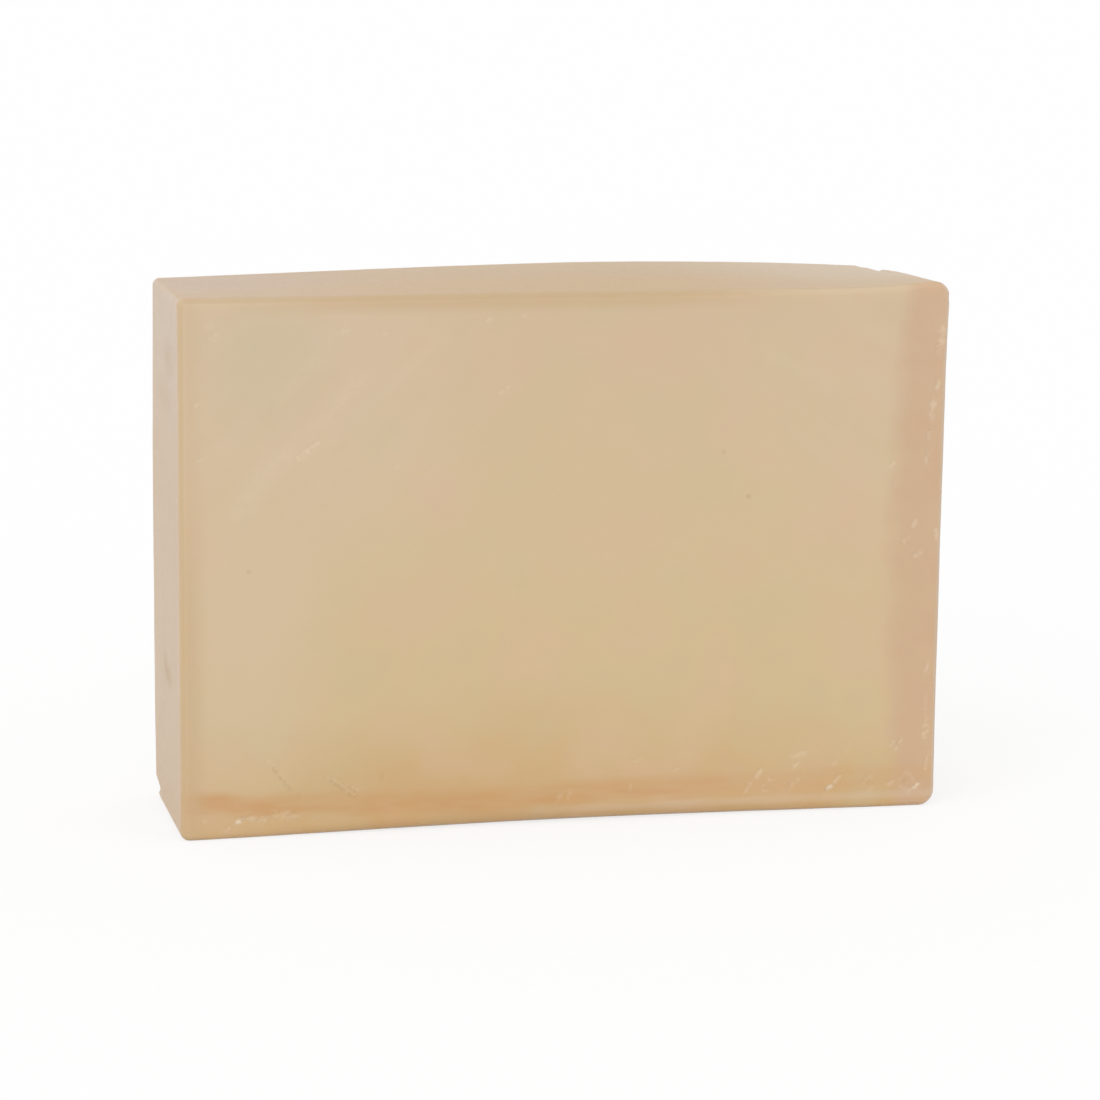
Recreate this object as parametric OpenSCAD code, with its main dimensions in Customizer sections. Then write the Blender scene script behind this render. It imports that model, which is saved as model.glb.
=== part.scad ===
// A bar of glycerin soap, cast in a soft rectangular mould and stood on one long side.
// X runs along the bar, Y from its flat face back to its poured face, and Z is up.
// The origin is the middle of the side that it stands on.

/* [Body] */
// Length of the bar between its two ends
bar_length = 80; // [60:0.5:110]
// Height of the top side's ends above the side that the bar stands on
bar_height = 55; // [40:0.5:80]
// Thickness from the flat face to the poured face
bar_depth = 20; // [14:0.5:40]

/* [Bulge of the soft mould] */
// Rise of the top side above its ends, along the poured face
top_bulge = 1.05; // [0:0.05:3]
// Distance of the highest point from mid-length, towards the right end
top_bulge_shift = 8; // [-20:0.5:20]
// Power of the bulge's wave: under 1, its shoulders are fuller
top_bulge_power = 0.85; // [0.5:0.05:2]
// Swelling of both ends at mid-height, along the poured face
end_bulge = 0.14; // [0:0.02:1]
// Hollow of the right end at mid-height, along the flat face
end_hollow = 0.06; // [0:0.02:0.6]

/* [Swollen corner] */
// Rise of the top right corner of the flat face above the other corners
lip_rise = 0.65; // [0:0.05:2]
// How far the rise reaches along the top side
lip_reach = 6; // [2:0.5:15]
// How far the same corner stands out sideways
lip_flare = 0.25; // [0:0.05:1.5]
// How far that reaches down the end
lip_drop = 6; // [2:0.5:20]

/* [Edges] */
// Radius of the edges round the flat face
front_edge_radius = 0.7; // [0.2:0.05:1.5]
// Radius of the flat face's bottom edge at mid-length, where it is worn most
worn_edge_radius = 2.4; // [1:0.1:5]
// Radius of the edges round the poured face
back_edge_radius = 0.6; // [0.2:0.05:1.5]

/* [Corners] */
// Radius of the bottom left corner, seen from the flat face
bottom_left_radius = 1; // [0.3:0.05:4]
// Radius of the bottom right corner
bottom_right_radius = 1.7; // [0.3:0.05:4]
// Radius of the top right corner
top_right_radius = 1.8; // [0.3:0.05:4]
// Radius of the top left corner
top_left_radius = 0.7; // [0.3:0.05:4]

/* [Nicks] */
// Width of the nick across the top edge of the poured face
top_nick_width = 3.2; // [0.5:0.1:8]
// Its depth at the poured face
top_nick_depth = 0.65; // [0.1:0.05:1]
// How far it runs in from the poured face
top_nick_reach = 7; // [1:0.5:12]
// Distance of its middle from the right end
top_nick_inset = 2.1; // [0:0.1:20]
// Width of the nick across the left end's edge of the poured face
foot_nick_width = 2.4; // [0.5:0.1:8]
// Its depth at the poured face
foot_nick_depth = 0.6; // [0.1:0.05:1]
// How far it runs in from the poured face
foot_nick_reach = 5; // [1:0.5:12]
// Height of its middle above the side that the bar stands on
foot_nick_height = 1.1; // [0:0.1:20]
// Width of the nick across the right end's edge of the flat face
lip_nick_width = 2; // [0.5:0.1:8]
// Its depth at the flat face
lip_nick_depth = 0.4; // [0.1:0.05:1]
// How far it runs in from the flat face
lip_nick_reach = 2; // [1:0.5:12]
// Distance of its middle below the swollen corner
lip_nick_drop = 1.8; // [0:0.1:20]

/* [Smoothness] */
// Steps round each corner and each edge
round_steps = 5; // [3:1:8]
// Longest step along the sides
side_step = 3; // [2:0.5:8]

/* [Hidden] */
soap_colour = [0.83, 0.73, 0.6];
half_length = bar_length / 2;
bulge_peak = 0.5 + top_bulge_shift / bar_length;
least_radius = 0.05;
cutter_smoothness = 64;

function blend(a, b, t) = a + (b - a) * t;

// Rises from 0 to 1 and falls back as t goes from 0 to 1, with its crest where t is peak
function wave(t, peak = 0.5, power = 1) = pow(sin(180 * pow(t, ln(0.5) / ln(peak))), power);

// 0 on the flat face and 1 on the poured face
function depth_share(y) = y / bar_depth;

// Height of the top side at a place along the bar and a depth behind the flat face
function top_z(x, y) =
    let (along = wave(x / bar_length + 0.5, bulge_peak, top_bulge_power))
    let (near_corner = exp(-pow((half_length - x) / lip_reach, 2)))
    bar_height
    + top_bulge * along * sin(90 * depth_share(y))
    + lip_rise * near_corner * (1 - depth_share(y));

// Distances of the two ends from mid-length, at a height and a depth
function left_x(z, y) = half_length + end_bulge * wave(z / bar_height) * depth_share(y);

function right_x(z, y) =
    let (near_corner = exp((z - bar_height) / lip_drop))
    left_x(z, y)
    + (lip_flare * near_corner - end_hollow * wave(z / bar_height)) * (1 - depth_share(y));

// Centres of the four corner arcs, at a depth and drawn in by the inset
function arc_radius(radius, inset) = max(radius - inset, least_radius);

function bottom_left_centre(y, inset) =
    let (r = inset + arc_radius(bottom_left_radius, inset))
    [r - left_x(0, y), r];

function bottom_right_centre(y, inset) =
    let (r = inset + arc_radius(bottom_right_radius, inset))
    [right_x(0, y) - r, r];

function top_right_centre(y, inset) =
    let (r = inset + arc_radius(top_right_radius, inset))
    [right_x(bar_height - top_right_radius, y) - r, top_z(half_length - top_right_radius, y) - r];

function top_left_centre(y, inset) =
    let (r = inset + arc_radius(top_left_radius, inset))
    [r - left_x(bar_height, y), top_z(-half_length, y) - r];

function arc_point(centre, radius, angle) = centre + radius * [cos(angle), sin(angle)];

// The outline runs from the bottom left corner to the right, up, back along the top and down.
// Each station of it is a side or corner and how far along that it lies, from 0 to 1.
function outline_point(station, y, inset) =
    let (part = station[0])
    let (t = station[1])
    let (bl = bottom_left_centre(y, inset))
    let (br = bottom_right_centre(y, inset))
    let (tr = top_right_centre(y, inset))
    let (tl = top_left_centre(y, inset))
    part == "bottom" ? [blend(bl.x, br.x, t), inset]
    : part == "bottom_right" ? arc_point(br, arc_radius(bottom_right_radius, inset), 90 * t - 90)
    : part == "right" ? right_point(blend(br.y, tr.y, t), y, inset)
    : part == "top_right" ? arc_point(tr, arc_radius(top_right_radius, inset), 90 * t)
    : part == "top" ? top_point(blend(tr.x, tl.x, t), y, inset)
    : part == "top_left" ? arc_point(tl, arc_radius(top_left_radius, inset), 90 * t + 90)
    : part == "left" ? left_point(blend(tl.y, bl.y, t), y, inset)
    : arc_point(bl, arc_radius(bottom_left_radius, inset), 90 * t + 180);

function right_point(z, y, inset) = [right_x(z, y) - inset, z];

function top_point(x, y, inset) = [x, top_z(x, y) - inset];

function left_point(z, y, inset) = [inset - left_x(z, y), z];

// Stations of a side leave out its ends, which belong to the corners beside it
function side_stations(part, length) =
    let (steps = ceil(length / side_step))
    [for (i = [1:steps - 1]) [part, i / steps]];

function corner_stations(part) = [for (i = [0:round_steps]) [part, i / round_steps]];

stations = concat(
    side_stations("bottom", bar_length), corner_stations("bottom_right"),
    side_stations("right", bar_height), corner_stations("top_right"),
    side_stations("top", bar_length), corner_stations("top_left"),
    side_stations("left", bar_height), corner_stations("bottom_left")
);

// The bottom edge of the flat face is rounded most at mid-length
function front_radius(station) =
    station[0] == "bottom"
    ? blend(front_edge_radius, worn_edge_radius, wave(station[1], 0.5, 1.5))
    : front_edge_radius;

// Rows of the loft: round the flat face's edges, back along the sides, round the poured face's
quarter = [for (i = [0:round_steps]) 90 * i / round_steps];
depth_steps = ceil(bar_depth / side_step);
rows = concat(
    [for (angle = quarter) ["front", angle]],
    [for (i = [1:depth_steps - 1]) ["side", i / depth_steps]],
    [for (angle = quarter) ["back", 90 - angle]]
);

// Depth behind the flat face and inset of a row, where the front edge has this radius
function row_place(row, radius) =
    row[0] == "front" ? radius * [1 - cos(row[1]), 1 - sin(row[1])]
    : row[0] == "side" ? [blend(radius, bar_depth - back_edge_radius, row[1]), 0]
    : [bar_depth, 0] + back_edge_radius * [cos(row[1]) - 1, 1 - sin(row[1])];

function loft_point(row, station) =
    let (place = row_place(row, front_radius(station)))
    let (p = outline_point(station, place[0], place[1]))
    [p.x, place[0], p.y];

module cast_bar() {
    count = len(stations);
    last = (len(rows) - 1) * count;
    middle = [[0, 0, bar_height / 2], [0, bar_depth, bar_height / 2]];
    skin = [for (row = rows, station = stations) loft_point(row, station)];
    walls = [
        for (k = [0:len(rows) - 2], i = [0:count - 1])
            let (a = k * count + i)
            let (b = k * count + (i + 1) % count)
            each [[a, a + count, b], [b, a + count, b + count]]
    ];
    flat_face = [for (i = [0:count - 1]) [i, (i + 1) % count, len(skin)]];
    poured_face = [for (i = [0:count - 1]) [last + (i + 1) % count, last + i, len(skin) + 1]];
    polyhedron(points = concat(skin, middle), faces = concat(walls, flat_face, poured_face));
}

// A nick in an edge of the poured face, at the origin, cut by a round bar from above.
// It runs out at its reach towards the flat face, and the turn leans it over to the right.
module nick(width, depth, reach, turn) {
    radius = (pow(width / 2, 2) + pow(depth, 2)) / (2 * depth);
    rotate([0, turn, 0])
        translate([0, 0, radius - depth])
            rotate([90 - atan(depth / reach), 0, 0])
                cylinder(r = radius, h = 3 * reach, center = true, $fn = cutter_smoothness);
}

module top_nick() {
    x = half_length - top_nick_inset;
    translate([x, bar_depth, top_z(x, bar_depth)])
        nick(top_nick_width, top_nick_depth, top_nick_reach, 0);
}

module foot_nick() {
    z = foot_nick_height;
    translate([-left_x(z, bar_depth), bar_depth, z])
        nick(foot_nick_width, foot_nick_depth, foot_nick_reach, -90);
}

module lip_nick() {
    z = top_z(half_length, 0) - lip_nick_drop;
    translate([right_x(z, 0), 0, z])
        mirror([0, 1, 0])
            nick(lip_nick_width, lip_nick_depth, lip_nick_reach, 90);
}

module soap_bar() {
    color(soap_colour)
        translate([0, -bar_depth / 2, 0])
            difference() {
                cast_bar();
                top_nick();
                foot_nick();
                lip_nick();
            }
}

soap_bar();
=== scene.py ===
import math

import bmesh
import bpy
from mathutils import Matrix, Vector, noise


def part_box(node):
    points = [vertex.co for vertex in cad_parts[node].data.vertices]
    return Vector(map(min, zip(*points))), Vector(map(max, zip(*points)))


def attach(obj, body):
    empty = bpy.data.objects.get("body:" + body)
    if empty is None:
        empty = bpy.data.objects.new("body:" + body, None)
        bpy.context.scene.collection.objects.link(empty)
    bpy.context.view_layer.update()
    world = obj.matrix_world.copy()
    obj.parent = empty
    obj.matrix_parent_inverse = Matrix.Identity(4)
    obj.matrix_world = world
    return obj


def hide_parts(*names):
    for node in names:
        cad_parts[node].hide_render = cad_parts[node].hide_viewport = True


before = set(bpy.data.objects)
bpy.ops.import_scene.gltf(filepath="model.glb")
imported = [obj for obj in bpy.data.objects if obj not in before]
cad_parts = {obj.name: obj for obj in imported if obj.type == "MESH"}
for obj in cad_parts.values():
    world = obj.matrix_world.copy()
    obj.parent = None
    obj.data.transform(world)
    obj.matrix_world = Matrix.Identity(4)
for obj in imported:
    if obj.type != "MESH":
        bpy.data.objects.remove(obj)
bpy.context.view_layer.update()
mm = 0.001
soapLow, soapHigh = (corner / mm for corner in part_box("soap_bar"))

# where the photograph was taken from, in mm and degrees
camera = {
    "place": (-87.2, -365.7, 96.1),
    "turn": 13.45,  # towards the right end
    "tilt": 10.43,  # downwards
    "roll": 0.66,
    "lens": 119.75,  # on a 36 mm sensor
    "sees": 60,  # m
}


def setCamera():
    data = bpy.data.cameras.new("photoView")
    data.lens = camera["lens"]
    data.clip_end = camera["sees"]
    eye = bpy.data.objects.new("photoView", data)
    bpy.context.collection.objects.link(eye)
    turned = Matrix.Rotation(math.radians(-camera["turn"]), 4, "Z")
    tilted = Matrix.Rotation(math.radians(90 - camera["tilt"]), 4, "X")
    rolled = Matrix.Rotation(math.radians(camera["roll"]), 4, "Z")
    placed = Matrix.Translation(Vector(camera["place"]) * mm)
    eye.matrix_world = placed @ turned @ tilted @ rolled
    bpy.context.scene.camera = eye


setCamera()
print("camera set")


# the bar's form, in mm: it is the CAD solid's own, with the finer marks added
bar = {
    "topBulge": 1.05,
    "bulgeShift": 8,
    "bulgePower": 0.85,
    "endBulge": 0.14,
    "endHollow": 0.06,
    "lipRise": 0.65,
    "lipReach": 6,
    "lipFlare": 0.25,
    "lipDrop": 6,
    "frontRadius": 0.7,
    "wornRadius": 2.4,
    "wornPower": 1.5,
    "backRadius": 0.6,
    "cornerRadii": {(-1, 0): 1, (1, 0): 1.7, (1, 1): 1.8, (-1, 1): 0.76},  # side, top
    "cornerSegments": 8,
    "edgeSegments": 6,
    "fineStep": 0.4,  # between the mesh's cuts, within the border of an edge
    "wideStep": 0.8,  # away from the edges
    "border": 3,
    "nickCuts": 1,  # more cuts across each face by a nick
    "nickBorder": 1.5,
    "nickRun": 1.5,  # how far a nick's tool runs in, as a share of its reach
    "markCuts": 4,  # more cuts across each face under a mark
    "raggedness": 0.35,  # size of the ragged edges of the marks
    "firstCut": 1.1,  # past the rounded edges, which have steps of their own
    "same": 0.001,  # places closer than this are the same
    "merge": 0.05,  # corners closer than this become one
    "lastMerge": 0.01,  # and once the nicks are cut, closer than this
    "wave": 0.04,  # unevenness of the cast faces, all of it inwards
    "waveLength": 14,
    "ripple": 0.015,
    "rippleLength": 3.5,
}
barDepth = soapHigh.y - soapLow.y
barHeight = soapHigh.z - bar["topBulge"]
halfLength = -soapLow.x - bar["endBulge"]
halfDepth = barDepth / 2

# the three nicks of the solid, each cut into an edge and running out from it
nicks = [
    {"at": "top", "width": 3.2, "depth": 0.65, "reach": 7, "inset": 2.1},
    {"at": "foot", "width": 2.4, "depth": 0.6, "reach": 5, "height": 1.1},
    {"at": "lip", "width": 2, "depth": 0.4, "reach": 2, "drop": 1.8},
]

# marks on the flat face: start x, z and end x, z, then width, depth and paleness,
# which is below nothing where a mark is darker than the face, painted shade at its lower side
marks = [
    # the bright nicks along the foot, on the left, scuffed and with painted glints
    (-35.4, 1.2, -35.0, 1.4, 0.4, 0.06, 0.22),
    (-34.3, 1.9, -33.7, 2.1, 0.36, 0.1, 0.9),
    (-33.7, 2.1, -32.6, 2.2, 0.36, 0.08, 0.38),
    (-31.8, 2.0, -30.9, 2.3, 0.45, 0.08, 0.3),
    (-30.6, 2.4, -28.9, 2.4, 0.8, 0.06, 0.24),
    (-28.8, 2.2, -28.0, 2.3, 0.5, 0.08, 0.2),
    (-26.6, 1.9, -26.1, 1.9, 0.35, 0.05, 0.12),
    (-37.8, 2.1, -37.4, 2.2, 0.35, 0.05, 0.15),
    # fine scratches above them, each with a painted shade line at its lower side
    (-31.1, 8.2, -29.3, 5.7, 0.22, 0.05, 0.18),
    (-30.6, 7.2, -28.8, 4.9, 0.2, 0.05, -0.3),
    (-28.2, 4.6, -27.8, 4.1, 0.22, 0.05, -0.2),
    (-24.9, 6.1, -22.3, 4.2, 0.24, 0.07, 0.25),
    (-24.6, 5.6, -22.3, 3.8, 0.2, 0.05, -0.35),
    (-23.2, 5.3, -21.8, 4.5, 0.22, 0.05, 0.18),
    (-22.9, 4.9, -21.9, 4.2, 0.2, 0.04, -0.25),
    (-19.5, 5.4, -19.4, 6.0, 0.25, 0.04, -0.2),
    # small touches along the foot, in the middle
    (-0.9, 2.6, -0.6, 3.0, 0.4, 0.04, 0.18),
    (0.1, 2.8, 0.4, 3.4, 0.4, 0.04, 0.18),
    (6.6, 3.1, 6.7, 3.8, 0.25, 0.05, 0.2),
    (6.9, 6.2, 7.7, 6.4, 0.3, 0.04, 0.15),
    (11.3, 5.1, 11.9, 5.4, 0.3, 0.04, 0.15),
    # the scuffed foot on the right
    (20.4, 4.1, 20.8, 4.6, 0.34, 0.07, 0.42),
    (19.5, 3.2, 19.8, 3.5, 0.34, 0.07, 0.35),
    (21.5, 3.8, 21.9, 3.6, 0.36, 0.07, 0.35),
    (21.0, 2.9, 21.3, 2.5, 0.32, 0.06, 0.3),
    (19.1, 2.5, 19.4, 2.9, 0.25, 0.05, 0.25),
    (22.2, 2.8, 22.5, 3.1, 0.22, 0.05, 0.2),
    (24.2, 6.1, 25.5, 6.3, 0.4, 0.06, 0.3),
    (24.3, 4.9, 24.8, 5.4, 0.3, 0.07, 0.35),
    (24.2, 3.1, 25.1, 3.8, 0.32, 0.06, 0.28),
    (23.8, 2.3, 24.2, 3.0, 0.22, 0.05, 0.2),
    (28.7, 2.8, 29.4, 3.7, 0.28, 0.09, 0.5),
    (28.1, 2.4, 28.6, 2.8, 0.32, 0.12, 0.95),
    (27.8, 2.1, 28.2, 2.4, 0.28, 0.08, 0.4),
    (28.6, 5.0, 29.3, 5.4, 0.3, 0.05, 0.2),
    (29.9, 6.3, 30.3, 7.1, 0.28, 0.06, 0.2),
    (32.1, 2.9, 32.3, 3.3, 0.3, 0.05, 0.16),
    (32.8, 3.5, 33.0, 3.2, 0.3, 0.05, 0.16),
    (32.9, 2.3, 32.6, 2.1, 0.3, 0.05, 0.16),
    (32.5, 2.7, 32.9, 2.8, 0.3, 0.03, -0.2),
    (35.0, 6.8, 35.4, 7.2, 0.28, 0.08, 0.4),
    (35.9, 7.0, 36.2, 7.5, 0.26, 0.08, 0.4),
    (35.3, 6.3, 35.7, 6.5, 0.28, 0.06, 0.3),
    (35.6, 6.9, 35.7, 7.1, 0.25, 0.04, -0.25),
    (36.1, 3.1, 36.4, 3.5, 0.3, 0.06, 0.3),
    (36.8, 3.8, 37.1, 3.6, 0.3, 0.06, 0.28),
    (37.4, 3.1, 37.4, 2.8, 0.3, 0.06, 0.25),
    (36.6, 2.1, 36.2, 2.3, 0.3, 0.06, 0.3),
    (36.6, 2.9, 36.8, 2.9, 0.35, 0.04, -0.25),
    (37.5, 2.0, 38.2, 2.4, 0.3, 0.1, 0.95),
    (37.0, 1.7, 37.5, 2.0, 0.3, 0.07, 0.45),
    (34.9, 2.6, 35.3, 3.0, 0.34, 0.06, 0.3),
    # the right edge
    (38.8, 4.1, 38.9, 5.8, 0.3, 0.05, 0.25),
    (38.6, 7.7, 38.7, 9.2, 0.45, 0.04, 0.34),
    (38.6, 9.2, 38.6, 12.4, 0.3, 0.03, 0.12),
    (38.5, 14.7, 38.6, 15.4, 0.35, 0.06, 0.35),
    (37.1, 26.9, 37.6, 27.4, 0.4, 0.07, 0.34),
    (35.8, 28.5, 36.2, 28.9, 0.34, 0.06, 0.3),
    (36.8, 30.2, 37.1, 30.8, 0.34, 0.06, 0.34),
    (39.2, 28.8, 39.3, 29.6, 0.34, 0.08, 0.45),
    (34.1, 36.4, 34.4, 36.8, 0.25, 0.05, 0.3),
    (37.8, 37.0, 38.1, 37.8, 0.3, 0.08, 0.35),
    (38.1, 39.2, 38.2, 40.0, 0.3, 0.07, 0.25),
    (38.3, 41.5, 38.5, 43.2, 0.45, 0.06, 0.38),
    (38.9, 44.6, 39.0, 45.3, 0.36, 0.08, 0.48),
    (39.1, 48.4, 39.3, 50.8, 0.5, 0.05, 0.34),
    # the clear scratch and the faint touches in the upper left
    (-28.4, 38.7, -25.9, 40.4, 0.26, 0.06, 0.5),
    (-28.1, 38.6, -26.6, 39.4, 0.2, 0.03, 0.25),
    (-7.4, 44.9, -6.6, 45.6, 0.22, 0.04, 0.35),
    (-8.8, 52.3, -8.4, 52.5, 0.25, 0.03, 0.25),
    (-7.1, 51.3, -6.8, 51.5, 0.25, 0.03, 0.25),
    (-5.2, 52.7, -4.8, 52.9, 0.25, 0.03, 0.2),
    (-19.4, 51.1, -19.0, 51.3, 0.25, 0.03, 0.2),
    (-23.5, 51.2, -23.0, 51.8, 0.3, 0.03, 0.25),
    (-21.8, 46.3, -21.6, 46.7, 0.25, 0.03, 0.25),
    (-18.1, 37.5, -17.9, 37.8, 0.3, 0.03, 0.2),
    (-38.2, 44.4, -37.7, 44.5, 0.25, 0.04, 0.35),
    (-38.2, 38.8, -37.8, 38.9, 0.25, 0.04, 0.25),
    (-37.0, 52.2, -36.7, 52.4, 0.4, 0.03, 0.18),
    (-36.6, 50.8, -36.2, 51.3, 0.45, 0.03, 0.22),
    (-37.3, 50.1, -37.0, 50.3, 0.4, 0.03, 0.15),
    # soft wiped streaks, wider than the marks and hardly pressed in
    (-34.2, 33.6, -31.6, 36.4, 1.3, 0.01, 0.14),
    (-32.2, 36.6, -29.0, 39.2, 1.1, 0.01, 0.12),
    (-26.4, 41.6, -23.6, 44.4, 1.0, 0.01, 0.11),
    (-23.6, 44.4, -21.4, 47.1, 0.9, 0.01, 0.08),
    (-29.4, 45.0, -25.9, 49.0, 1.0, 0.01, 0.09),
    (-25.9, 49.0, -23.4, 52.0, 0.9, 0.01, 0.08),
    (-18.0, 46.5, -13.5, 51.0, 1.0, 0.01, 0.05),
    (19.7, 48.8, 30.1, 44.0, 0.9, 0.01, 0.06),
]


def wave(share, peak=0.5, power=1.0):
    # rises from 0 to 1 and falls back as the share goes from 0 to 1
    share = min(max(share, 0), 1)
    return max(math.sin(math.pi * share ** (math.log(0.5) / math.log(peak))), 0) ** power


def blockOut():
    bm = bmesh.new()
    bmesh.ops.create_cube(bm, size=1)
    bmesh.ops.scale(bm, vec=(2 * halfLength, barDepth, barHeight), verts=bm.verts)
    bmesh.ops.translate(bm, vec=(0, 0, barHeight / 2), verts=bm.verts)
    return bm


def middleOf(edge):
    return (edge.verts[0].co + edge.verts[1].co) / 2


def bevelEdges(bm, edges, radius, segments):
    bmesh.ops.bevel(
        bm,
        geom=edges,
        offset=radius,
        segments=segments,
        affect="EDGES",
        profile=0.5,
        material=-1,
    )


def roundEdges(bm):
    for (side, top), radius in bar["cornerRadii"].items():
        corner = Vector((side * halfLength, 0, top * barHeight))
        edges = [edge for edge in bm.edges if (middleOf(edge) - corner).length < bar["same"]]
        bevelEdges(bm, edges, radius, bar["cornerSegments"])
    for side, radius in ((-1, bar["frontRadius"]), (1, bar["backRadius"])):
        face = side * halfDepth
        onFace = [vert for vert in bm.verts if abs(vert.co.y - face) < bar["same"]]
        edges = [edge for edge in bm.edges if all(vert in onFace for vert in edge.verts)]
        bevelEdges(bm, edges, radius, bar["edgeSegments"])


def cutPlaces(low, high):
    # fine steps near the two ends and wide ones between them
    places = []
    place = low + bar["firstCut"]
    while place <= high - bar["firstCut"]:
        places.append(place)
        near = min(place - low, high - place) < bar["border"]
        place += bar["fineStep"] if near else bar["wideStep"]
    return places


def slices(bm, axis, places):
    normal = Vector((0, 0, 0))
    normal[axis] = 1
    for place in places:
        everything = bm.verts[:] + bm.edges[:] + bm.faces[:]
        bmesh.ops.bisect_plane(
            bm, geom=everything, dist=bar["merge"], plane_co=normal * place, plane_no=normal
        )


def fromMark(point, mark):
    # distance of a point on the flat face from a mark's line
    x1, z1, x2, z2 = mark[:4]
    dx, dz = x2 - x1, z2 - z1
    share = ((point.x - x1) * dx + (point.z - z1) * dz) / (dx * dx + dz * dz)
    share = min(max(share, 0), 1)
    return math.hypot(point.x - x1 - share * dx, point.z - z1 - share * dz)


def underMark(points, mark, border):
    # which of these points on the flat face lie within a mark or its border
    x1, z1, x2, z2, width = mark[:5]
    reach = width + border
    for name, point in points:
        if min(x1, x2) - reach < point.x < max(x1, x2) + reach:
            if min(z1, z2) - reach < point.z < max(z1, z2) + reach:
                gap = fromMark(point, mark)
                if gap < reach:
                    yield name, gap


def refine(bm, faces, cuts):
    edges = dict.fromkeys(edge for face in faces for edge in face.edges)  # each once, in order
    bmesh.ops.subdivide_edges(bm, edges=list(edges), cuts=cuts, use_grid_fill=True)


def onFlatFace(items, place):
    # these faces or corners of the mesh with their places, if they lie on it or its rounded edges
    return [(item, place(item)) for item in items if place(item).y < bar["wornRadius"] - halfDepth]


def refineMarks(bm):
    middles = onFlatFace(bm.faces, bmesh.types.BMFace.calc_center_median)
    faces = dict.fromkeys(
        face
        for mark in marks
        if mark[4] < bar["wideStep"]
        for face, gap in underMark(middles, mark, bar["fineStep"])
    )
    refine(bm, faces, bar["markCuts"])


def refineNicks(bm):
    faces = [face for face in bm.faces if nearNick(face.calc_center_median())]
    refine(bm, faces, bar["nickCuts"])


def swell(bm):
    # the soft mould's bulges, the swollen corner and the worn bottom edge
    peak = 0.5 + bar["bulgeShift"] / (2 * halfLength)
    for vert in bm.verts:
        x, y, z = vert.co
        back = y / barDepth + 0.5
        along = x / (2 * halfLength) + 0.5
        nearCorner = math.exp(-(((halfLength - x) / bar["lipReach"]) ** 2))
        rise = bar["topBulge"] * wave(along, peak, bar["bulgePower"]) * math.sin(math.pi / 2 * back)
        rise += bar["lipRise"] * nearCorner * (1 - back)
        up = min(z / barHeight, 1)
        upWave = wave(up)
        outward = bar["endBulge"] * upWave * back
        if x > 0:
            flare = bar["lipFlare"] * math.exp((z - barHeight) / bar["lipDrop"])
            outward += (flare - bar["endHollow"] * upWave) * (1 - back)
        vert.co.x += outward * x / halfLength
        vert.co.z += rise * up
        worn = bar["frontRadius"]
        worn += (bar["wornRadius"] - worn) * wave(along, 0.5, bar["wornPower"])
        fromCentre = Vector((0, min(y + halfDepth - worn, 0), min(z - worn, 0)))
        if fromCentre.length > worn:
            vert.co += fromCentre * (worn / fromCentre.length - 1)


def ripple(bm):
    # slow unevenness of every cast face but the one that it stands on
    bm.normal_update()
    for vert in bm.verts:
        slow = (noise.noise(vert.co / bar["waveLength"]) - 1) * bar["wave"]
        quick = (noise.noise(vert.co / bar["rippleLength"]) - 1) * bar["ripple"]
        vert.co += vert.normal * (slow + quick) * min(vert.co.z / bar["border"], 1)


def nickPlace(nick):
    # a nick's place on its edge, the way out of the bar and the way that it runs in
    back = Vector((0, -1, 0))
    if nick["at"] == "top":
        return Vector((halfLength - nick["inset"], halfDepth, barHeight)), Vector((0, 0, 1)), back
    if nick["at"] == "foot":
        return Vector((-halfLength, halfDepth, nick["height"])), Vector((-1, 0, 0)), back
    height = barHeight + bar["lipRise"] - nick["drop"]
    return Vector((halfLength + bar["lipFlare"], -halfDepth, height)), Vector((1, 0, 0)), -back


def nickFloor(nick, across, inward):
    # height of a nick's floor above its edge
    radius = (nick["width"] ** 2 / 4 + nick["depth"] ** 2) / (2 * nick["depth"])
    if abs(across) >= radius or inward > bar["nickRun"] * nick["reach"]:
        return math.inf
    return nick["depth"] * (inward / nick["reach"] - 1) + radius - math.sqrt(radius**2 - across**2)


def cutNicks(bm):
    for nick in nicks:
        place, out, into = nickPlace(nick)
        across = out.cross(into)
        for vert in bm.verts:
            gap = vert.co - place
            floor = nickFloor(nick, gap.dot(across), gap.dot(into))
            if gap.dot(out) > floor:
                vert.co += out * (floor - gap.dot(out))


def nearNick(point):
    for nick in nicks:
        place, out, into = nickPlace(nick)
        gap = point - place
        beside = abs(gap.dot(out.cross(into))) < nick["width"] / 2 + bar["fineStep"]
        if beside and abs(gap.dot(out)) < bar["nickBorder"] and abs(gap.dot(into)) < nick["reach"]:
            return True
    return False


def pressMarks(bm):
    # dents along the marks, and how pale each point of them is, below nothing for painted shade
    paleness = bm.verts.layers.float.new("scuff")
    bm.normal_update()
    points = onFlatFace(bm.verts, lambda vert: vert.co)
    moves = []
    for mark in marks:
        width, depth, pale = mark[4:]
        for vert, gap in underMark(points, mark, 0):
            gap += noise.noise(vert.co / bar["raggedness"]) * width
            share = (1 - min(max(gap, 0) / width, 1) ** 2) ** 2
            vert[paleness] = max(vert[paleness], share * pale, key=abs)
            moves.append((vert, vert.normal * depth * share))
    for vert, move in moves:
        vert.co -= move


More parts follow.
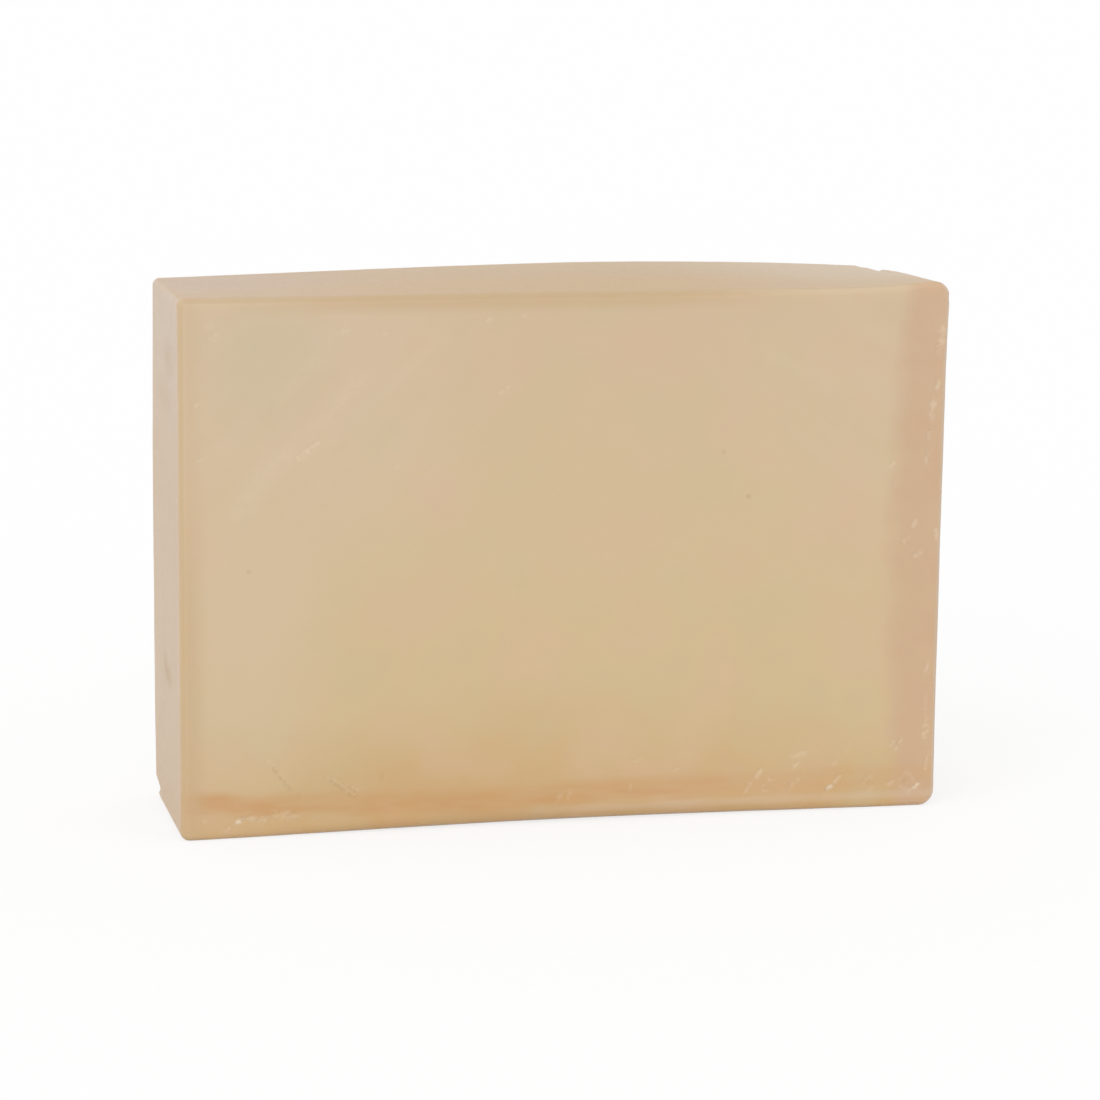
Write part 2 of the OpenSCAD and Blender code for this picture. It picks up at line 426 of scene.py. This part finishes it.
def buildBar():
    bm = blockOut()
    roundEdges(bm)
    slices(bm, 1, cutPlaces(-halfDepth, halfDepth))
    slices(bm, 2, cutPlaces(0, barHeight))
    slices(bm, 0, cutPlaces(-halfLength, halfLength))
    bmesh.ops.remove_doubles(bm, verts=bm.verts, dist=bar["merge"])
    refineNicks(bm)
    refineMarks(bm)
    swell(bm)
    ripple(bm)
    cutNicks(bm)
    bmesh.ops.remove_doubles(bm, verts=bm.verts, dist=bar["lastMerge"])
    pressMarks(bm)
    bmesh.ops.recalc_face_normals(bm, faces=bm.faces)
    bmesh.ops.scale(bm, vec=(mm, mm, mm), verts=bm.verts)
    mesh = bpy.data.meshes.new("castBar")
    bm.to_mesh(mesh)
    bm.free()
    mesh.shade_smooth()
    piece = bpy.data.objects.new("castBar", mesh)
    bpy.context.collection.objects.link(piece)
    return piece


castBar = buildBar()
print("bar built,", sum(len(face.vertices) - 2 for face in castBar.data.polygons), "triangles")


class Wire:
    # one output of a node, which reads as a value in sums
    def __init__(self, finish, socket):
        self.finish = finish
        self.socket = socket

    def maths(self, operation, *values):
        return self.finish.node("ShaderNodeMath", {"operation": operation}, dict(enumerate(values)))

    def __add__(self, other):
        return self.maths("ADD", self, other)

    def __radd__(self, other):
        return self.maths("ADD", other, self)

    def __sub__(self, other):
        return self.maths("SUBTRACT", self, other)

    def __rsub__(self, other):
        return self.maths("SUBTRACT", other, self)

    def __mul__(self, other):
        return self.maths("MULTIPLY", self, other)

    def __rmul__(self, other):
        return self.maths("MULTIPLY", other, self)

    def __truediv__(self, other):
        return self.maths("DIVIDE", self, other)

    def __abs__(self):
        return self.maths("ABSOLUTE", self)

    def larger(self, other):
        return self.maths("MAXIMUM", self, other)

    def smaller(self, other):
        return self.maths("MINIMUM", self, other)


class Finish:
    # the nodes of a material or of the world, in the making
    def __init__(self, owner, shader="Principled BSDF"):
        owner.use_nodes = True
        self.tree = owner.node_tree
        self.shader = self.tree.nodes[shader]

    def feed(self, socket, value):
        if isinstance(value, Wire):
            self.tree.links.new(value.socket, socket)
        else:
            socket.default_value = value

    def node(self, kind, settings, sockets, output=0):
        made = self.tree.nodes.new(kind)
        for name, value in settings.items():
            if name == "stops":
                self.setStops(made.color_ramp.elements, value)
            else:
                setattr(made, name, value)
        for name, value in sockets.items():
            self.feed(made.inputs[name], value)
        return Wire(self, made.outputs[output])

    def setStops(self, elements, stops):
        while len(elements) < len(stops):
            elements.new(1)
        for element, (position, colour) in zip(elements, stops):
            element.position = position
            element.color = colour

    def parts(self, vector):
        return [self.node("ShaderNodeSeparateXYZ", {}, {0: vector}, part) for part in range(3)]

    def distance(self, vector, middle):
        ends = {0: vector, 1: middle}
        return self.node("ShaderNodeVectorMath", {"operation": "DISTANCE"}, ends, "Value")

    def ramp(self, value, stops):
        return self.node("ShaderNodeValToRGB", {"stops": stops}, {0: value})

    def fade(self, value, start, full, most=1.0):
        # smoothly from 0 at the start to the most where it is full
        return self.node(
            "ShaderNodeMapRange",
            {"interpolation_type": "SMOOTHSTEP"},
            {"Value": value, "From Min": start, "From Max": full, "To Max": most},
        )

    def mix(self, factor, first, second):
        colours = {0: factor, 6: first, 7: second}
        return self.node("ShaderNodeMix", {"data_type": "RGBA"}, colours, 2)

    def cloud(self, vector, size, detail=2.0):
        # noise from 0 to 1 with lumps of about this size
        sockets = {"Vector": vector, "Scale": 1 / size, "Detail": detail}
        return self.node("ShaderNodeTexNoise", {}, sockets)

    def seenDirectly(self):
        # 1 for what the camera sees, also in a reflection or through glass
        rays = ("Is Camera Ray", "Is Glossy Ray", "Is Transmission Ray")
        direct, glossy, glass = (self.node("ShaderNodeLightPath", {}, {}, ray) for ray in rays)
        return direct.larger(glossy).larger(glass)

    def set(self, name, value):
        self.feed(self.shader.inputs[name], value)


def swing(pattern, amount):
    # noise from 0 to 1 as a change to either side of nothing
    return (pattern - 0.5) * amount


def shade(red, green, blue):
    # a screen colour as the shader's linear one
    def linear(part):
        part /= 255
        return part / 12.92 if part <= 0.04045 else ((part + 0.055) / 1.055) ** 2.4

    return linear(red), linear(green), linear(blue), 1


# Each fade is where a tint starts, where it is full and, unless that is 1, how much it is then.
# Lengths are in mm in the part's frame, and the rest are shares of its size or directions.
soap = {
    # the flat face's colour from the foot up, at shares of the height, moved about by clouds; its
    # deeper foot is painted shade, where less light comes from below
    "heights": [
        (0.0, shade(204, 168, 121)),
        (0.05, shade(204, 171, 126)),
        (0.1, shade(204, 173, 128)),
        (0.16, shade(206, 179, 137)),
        (0.25, shade(207, 184, 145)),
        (0.5, shade(208, 185, 149)),
        (1.0, shade(206, 183, 153)),
    ],
    "clouds": 16,
    "cloudShift": 0.26,
    "leftLift": (-8, -30, 0.03),  # it is paler at the same height to the left and right
    "rightLift": (23, 36, 0.06),
    # faint pink and green patches
    "pink": shade(211, 182, 153),
    "green": shade(201, 185, 148),
    "patches": 9,
    "patchStrength": 2,
    # mist in the upper corners, drawn out into streaks, and paler soap by the left edge
    "pale": shade(212, 194, 172),
    "streak": (12, 1.9),  # length and width
    "mist": [
        {"middle": (-30, -10, 46), "fade": (27, 4), "amount": 0.34, "streaks": 0.5, "angle": 47},
        {"middle": (32, -10, 46), "fade": (20, 4), "amount": 0.13, "streaks": 0.3, "angle": -38},
    ],
    "leftPaleHeight": 18,
    "leftPaleUp": (18, 4),
    "leftPaleAlong": (-22, -32, 0.28),
    # the greenish patch in the upper left
    "greenish": shade(200, 184, 155),
    "greenishMiddle": (-31, -10, 48),
    "greenishFade": (9, 3, 0.4),
    # painted shade: the right end as if seen through the flat face, a darker band by the right edge
    "rightEndShade": shade(202, 170, 140),
    "bandPlace": 34.1,  # from mid-length, at mid-height
    "bandBend": 0.0018,  # how far its left edge curves out towards the foot and the top
    "bandWaver": 1.6,
    "bandFade": (-1.3, 1.6),
    "bandAmount": 0.8,
    "bandMottle": 0.7,
    "mottle": 4,
    # painted shade: the dark underside of the foot as if seen through the flat face, in layers
    "foot": shade(199, 150, 100),
    "footShadeRight": shade(206, 167, 127),
    "footTurn": (6, 24),  # from the one colour to the other
    "layer": (7, 1.3),  # length and thickness
    "footHeight": 3.8,
    "footRises": [(-12, -32, 0.4), (-33, -36, 0.5), (-6, 4, 0.45)],  # where it lies higher
    "footWaver": 1.2,
    "footTop": (0.9, -0.5),
    "footBottom": (-2.6, -1.2),
    "footAmount": 0.42,
    "footLeft": (-33, -36, 0.25),
    "footMottle": 1.2,
    # painted highlight: the pale line where the foot's edge starts to round, on the right
    "lineHeight": 1.5,
    "lineUp": (0.7, 0.1),
    "lineAlong": (-8, 4),
    "lineAmount": 0.15,
    "lineMottle": 0.25,
    # painted shade: deeper margins inside the left and top edges
    "marginShade": shade(198, 172, 136),
    "leftMargin": (3.2, 0.8),
    "leftMarginAmount": 0.3,
    "leftMarginDown": (36, 22, 0.35),
    "topMargin": (2.2, 0.8),
    "topMarginMiddle": -6,
    "topMarginAlong": (34, 12, 0.7),
    # the rounded edges round the flat face: painted shade on them, and a painted highlight on the
    # right one
    "rounded": shade(190, 165, 130),
    "rightRimHighlight": shade(205, 188, 170),
    "turned": (0.1, 0.4),
    "topEdgeAlong": (26, 10),
    "towardsFront": (-0.2, -0.6, 0.5),
    # the ends, deeper where more soap lies behind them and painted deeper still to offset the sheen
    # they catch at a slant
    "end": shade(192, 165, 136),
    "endPale": shade(196, 175, 157),
    "endPaleUp": (0.6, 1, 0.8),
    "endFront": shade(206, 172, 143),
    "endFrontDepth": (-7.5, -9.2, 0.4),
    "endDeep": shade(190, 158, 122),
    "endMottle": (0.3, 0.8, 0.2),
    "endBody": 0.35,  # how much of the flat face's colour is in them
    # painted light: more of the flat face's colour on the right end, which the lamp does not reach
    "rightEndPaintedLight": (0.3, 0.8, 0.35),
    # the top side, painted deep to offset the sheen it catches at a slant, palest towards the back
    # and the ends
    "topFrontShade": shade(191, 156, 107),
    "topBackShade": shade(188, 156, 114),
    "topDepth": (0.3, 0.65),
    "topWaver": 0.3,
    "topLeft": shade(189, 158, 132),
    "topRight": shade(197, 173, 142),
    "topTurn": (-10, 10),  # from the one colour to the other
    "topMiddle": -2,
    "topEnds": (12, 34, 0.9),
    "topEndsFront": 0.4,
    "topEndsBack": (0.15, 0.5, 0.6),
    "topBody": 0.25,
    "facingUp": (0.7, 0.95),
    "facingSideways": (0.37, 0.2),
    # the edge round the poured face lets the light behind it through
    "backRim": shade(185, 180, 172),
    "backRimDepth": (0.965, 0.99),
    "backRimTurn": (0.97, 0.8, 0.45),
    # specks, smudges, scuffs, and the painted shade along scratches
    "speck": shade(174, 136, 86),
    "speckWaver": 1.2,
    "scuff": shade(228, 210, 184),
    "scratchShade": shade(176, 146, 108),
    "markBreaks": 0.5,
    "markBreakFade": (0.25, 0.55),
    # the surface
    "grain": 0.7,
    "grainHeight": 0.012,
    "scuffHeight": 0.02,
    "roughness": 0.35,
    "grainRoughness": 0.15,
    "scuffRoughness": 0.2,
    "shine": 0.18,  # less than glass: the surface is a little greasy
    "ior": 1.47,
    "subsurface": 0.25,
    "subsurfaceReach": 2.5,  # for red light
    "subsurfaceSpread": (1, 0.85, 0.7),  # of red, green and blue
}

# specks in the flat face and smudges on the left end: place, reach along each axis and strength
specks = [
    ((18.8, -10, 33.7), (0.5, 0.5, 0.5), 0.4),
    ((16, -10, 38.4), (0.4, 0.4, 0.4), 0.2),
    ((-33, -10, 27.5), (0.45, 0.45, 0.45), 0.25),
    ((-40, 1, 16.4), (3, 3, 2), 0.4),
    ((-40, -1, 15.3), (3, 4.6, 1.7), 0.5),
    ((-40, -3, 48.2), (3, 5.5, 3), 0.28),
    ((-40, 0, 44), (3, 8, 2.6), 0.2),
]


class SoapFinish(Finish):
    # the soap's colours, each from where a point lies and which way it faces
    def __init__(self, material):
        super().__init__(material)
        place = self.node("ShaderNodeTexCoord", {}, {}, "Object")
        scaled = {0: place, "Scale": 1 / mm}
        self.point = self.node("ShaderNodeVectorMath", {"operation": "SCALE"}, scaled)
        self.x, self.y, self.z = self.parts(self.point)
        facing = self.node("ShaderNodeTexCoord", {}, {}, "Normal")
        self.outX, self.outY, self.outZ = self.parts(facing)
        self.back = self.y / barDepth + 0.5
        self.fromFoot = self.z / barHeight
        self.clouds = self.cloud(self.point, soap["clouds"])
        self.mottle = self.cloud(self.point, soap["mottle"])

    def fitted(self, middle, reach, turn=(0, 0, 0)):
        # the place seen from a middle, turned and in units of the reach along each axis
        return self.node(
            "ShaderNodeMapping",
            {"vector_type": "TEXTURE"},
            {"Vector": self.point, "Location": middle, "Rotation": turn, "Scale": reach},
        )

    def drawnOut(self, angle, length, width, detail):
        # noise drawn out along the flat face, at an angle above the bar's length
        turn = (0, -math.radians(angle), 0)
        return self.cloud(self.fitted((0, 0, 0), (length, length, width), turn), 1, detail)

    def near(self, middle, fade):
        return self.fade(self.distance(self.point, middle), *fade)

    def flatFace(self):
        lift = self.fade(self.x, *soap["leftLift"]) + self.fade(self.x, *soap["rightLift"])
        level = self.fromFoot + lift + swing(self.clouds, soap["cloudShift"])
        colour = self.ramp(level, soap["heights"])
        patches = swing(self.cloud(self.point, soap["patches"]), soap["patchStrength"])
        colour = self.mix(patches, colour, soap["pink"])
        colour = self.mix(0 - patches, colour, soap["green"])
        fromMiddle = abs(self.z - soap["leftPaleHeight"])
        pale = self.fade(fromMiddle, *soap["leftPaleUp"])
        pale = pale * self.fade(self.x, *soap["leftPaleAlong"])
        for corner in soap["mist"]:
            streaks = self.drawnOut(corner["angle"], *soap["streak"], 1)
            amount = corner["amount"] + swing(streaks, corner["streaks"])
            pale = pale + self.near(corner["middle"], corner["fade"]) * amount
        colour = self.mix(pale, colour, soap["pale"])
        greenish = self.near(soap["greenishMiddle"], soap["greenishFade"])
        return self.mix(greenish, colour, soap["greenish"])

    def paintedRightEndShade(self, colour):
        # paints the right end's shade, as seen through the flat face, onto the flat face
        fromMiddle = self.z - barHeight / 2
        edge = fromMiddle * fromMiddle * soap["bandBend"] + soap["bandPlace"]
        pastEdge = self.x - edge + swing(self.mottle, soap["bandWaver"])
        amount = soap["bandAmount"] + swing(self.mottle, soap["bandMottle"])
        return self.mix(self.fade(pastEdge, *soap["bandFade"]) * amount, colour, soap["rightEndShade"])

    def footShadeAndHighlight(self, colour):
        # paints the foot's shade as seen through the flat face, then a painted highlight along the
        # foot's edge
        layers = self.drawnOut(0, *soap["layer"], 2)
        above = self.z - soap["footHeight"] + swing(layers, soap["footWaver"])
        for rise in soap["footRises"]:
            above = above - self.fade(self.x, *rise)
        strip = self.fade(above, *soap["footTop"]) * self.fade(above, *soap["footBottom"])
        amount = soap["footAmount"] + self.fade(self.x, *soap["footLeft"])
        amount = amount + swing(layers, soap["footMottle"])
        turn = self.fade(self.x, *soap["footTurn"])
        footShade = self.mix(turn, soap["foot"], soap["footShadeRight"])
        colour = self.mix(strip * amount, colour, footShade)
        # painted highlight along the rounding of the foot's edge
        footHighlight = self.fade(abs(self.z - soap["lineHeight"]), *soap["lineUp"])
        footHighlight = footHighlight * self.fade(self.x, *soap["lineAlong"])
        amount = soap["lineAmount"] + layers * soap["lineMottle"]
        return self.mix(footHighlight * amount, colour, soap["pale"])

    def paintedMargins(self, colour):
        # painted shade inside the left and top edges
        left = self.fade(self.x + halfLength, *soap["leftMargin"])
        left = left * (soap["leftMarginAmount"] + self.fade(self.z, *soap["leftMarginDown"]))
        top = self.fade(barHeight - self.z, *soap["topMargin"])
        top = top * self.fade(abs(self.x - soap["topMarginMiddle"]), *soap["topMarginAlong"])
        return self.mix(left.larger(top), colour, soap["marginShade"])

    def roundedEdges(self, colour):
        # painted shade on the rounded edges, painted highlight on the right one
        sideways = self.fade(abs(self.outX), *soap["turned"])
        upwards = self.fade(self.outZ, *soap["turned"])
        upwards = upwards * self.fade(self.x, *soap["topEdgeAlong"])
        rounding = sideways.larger(upwards) * self.fade(self.outY, *soap["towardsFront"])
        towardsRight = self.fade(self.outX, *soap["turned"])
        edgeShadeAndHighlight = self.mix(towardsRight, soap["rounded"], soap["rightRimHighlight"])
        return self.mix(rounding, colour, edgeShadeAndHighlight)

    def ends(self, body):
        # painted shade on the ends, and painted light on the right one
        upward = self.fade(self.fromFoot, *soap["endPaleUp"])
        colour = self.mix(upward, soap["end"], soap["endPale"])
        colour = self.mix(self.fade(self.y, *soap["endFrontDepth"]), colour, soap["endFront"])
        amount = soap["endBody"] + self.fade(self.outX, *soap["rightEndPaintedLight"])
        colour = self.mix(amount, colour, body)
        return self.mix(self.fade(self.mottle, *soap["endMottle"]), colour, soap["endDeep"])

    def top(self, body):
        # painted shade on the top side, against its sheen at a slant
        depth = self.back + swing(self.clouds, soap["topWaver"])
        colour = self.mix(self.fade(depth, *soap["topDepth"]), soap["topFrontShade"], soap["topBackShade"])
        turn = self.fade(self.x, *soap["topTurn"])
        endColour = self.mix(turn, soap["topLeft"], soap["topRight"])
        nearEnds = self.fade(abs(self.x - soap["topMiddle"]), *soap["topEnds"])
        amount = soap["topEndsFront"] + self.fade(self.back, *soap["topEndsBack"])
        colour = self.mix(nearEnds * amount, colour, endColour)
        return self.mix(soap["topBody"], colour, body)

    def narrowSides(self, colour, body):
        upward = self.fade(self.outZ, *soap["facingUp"])
        sides = self.mix(upward, self.ends(body), self.top(body))
        return self.mix(self.fade(abs(self.outY), *soap["facingSideways"]), colour, sides)

    def pouredEdge(self, colour):
        rim = self.fade(self.back, *soap["backRimDepth"])
        rim = rim * self.fade(self.outY, *soap["backRimTurn"])
        return self.mix(rim, colour, soap["backRim"])

    def specked(self, colour):
        waver = swing(self.mottle, soap["speckWaver"])
        for middle, reach, strength in specks:
            gap = self.distance(self.fitted(middle, reach), (0, 0, 0)) + waver
            colour = self.mix(self.fade(gap, 1, 0, strength), colour, soap["speck"])
        return colour


def finishSoap():
    material = bpy.data.materials.new("glycerin_soap")
    finish = SoapFinish(material)
    body = finish.flatFace()
    colour = finish.footShadeAndHighlight(finish.paintedRightEndShade(body))
    colour = finish.roundedEdges(finish.paintedMargins(colour))
    colour = finish.pouredEdge(finish.narrowSides(colour, body))
    colour = finish.specked(colour)
    marked = finish.node("ShaderNodeAttribute", {"attribute_name": "scuff"}, {}, "Fac")
    breaks = finish.cloud(finish.point, soap["markBreaks"])
    marked = marked * finish.fade(breaks, *soap["markBreakFade"])
    scuffsAndGlints = marked.larger(0)
    # pale scuffs, with painted glints on the brightest nicks
    colour = finish.mix(scuffsAndGlints, colour, soap["scuff"])
    # painted shade along the lower side of the scratches
    colour = finish.mix(0 - marked.smaller(0), colour, soap["scratchShade"])
    finish.set("Base Color", colour)

    grain = finish.cloud(finish.point, soap["grain"], 3)
    roughness = soap["roughness"] + swing(grain, soap["grainRoughness"])
    finish.set("Roughness", roughness + scuffsAndGlints * soap["scuffRoughness"])
    height = grain * soap["grainHeight"] + scuffsAndGlints * soap["scuffHeight"]
    bump = finish.node("ShaderNodeBump", {}, {"Height": height, "Distance": mm, "Strength": 1})
    finish.set("Normal", bump)
    finish.set("IOR", soap["ior"])
    finish.set("Specular IOR Level", soap["shine"])
    finish.set("Subsurface Weight", soap["subsurface"])
    finish.set("Subsurface Radius", soap["subsurfaceSpread"])
    finish.set("Subsurface Scale", soap["subsurfaceReach"] * mm)
    return material


castBar.data.materials.append(finishSoap())
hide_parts("soap_bar")
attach(castBar, "root")
print("soap finished")

studio = {
    "floor": 12,  # m across
    "floorWhite": 0.99,
    "floorGlow": 0.76,  # how far the floor that is seen is lifted to pure white
    "sky": 0.8,  # light from all round
    "key": 0.9,  # the soft lamp in front, on the left
    "keyTurn": 35,
    "keyTilt": 40,
    "softness": 60,
}


def setFloor():
    bm = bmesh.new()
    bmesh.ops.create_grid(bm, x_segments=1, y_segments=1, size=studio["floor"] / 2)
    mesh = bpy.data.meshes.new("floor")
    bm.to_mesh(mesh)
    bm.free()
    floor = bpy.data.objects.new("floor", mesh)
    bpy.context.collection.objects.link(floor)
    material = bpy.data.materials.new("white_floor")
    finish = Finish(material)
    finish.set("Base Color", (studio["floorWhite"],) * 3 + (1,))
    finish.set("Roughness", 1)
    finish.set("Specular IOR Level", 0)
    glow = finish.node("ShaderNodeEmission", {}, {})
    share = finish.seenDirectly() * studio["floorGlow"]
    lit = Wire(finish, finish.shader.outputs[0])
    mixed = finish.node("ShaderNodeMixShader", {}, {0: share, 1: lit, 2: glow})
    finish.feed(finish.tree.nodes["Material Output"].inputs["Surface"], mixed)
    mesh.materials.append(material)


def setLight():
    world = bpy.data.worlds.new("white room")
    bpy.context.scene.world = world
    finish = Finish(world, "Background")
    finish.set("Color", (1, 1, 1, 1))
    finish.set("Strength", studio["sky"] + finish.seenDirectly() * (1 - studio["sky"]))
    lamp = bpy.data.lights.new("key", "SUN")
    lamp.energy = studio["key"]
    lamp.angle = math.radians(studio["softness"])
    key = bpy.data.objects.new("key", lamp)
    key.rotation_euler = (math.radians(90 - studio["keyTilt"]), 0, -math.radians(studio["keyTurn"]))
    bpy.context.collection.objects.link(key)


setFloor()
setLight()
bpy.context.scene.view_settings.view_transform = "Standard"
print("studio set")
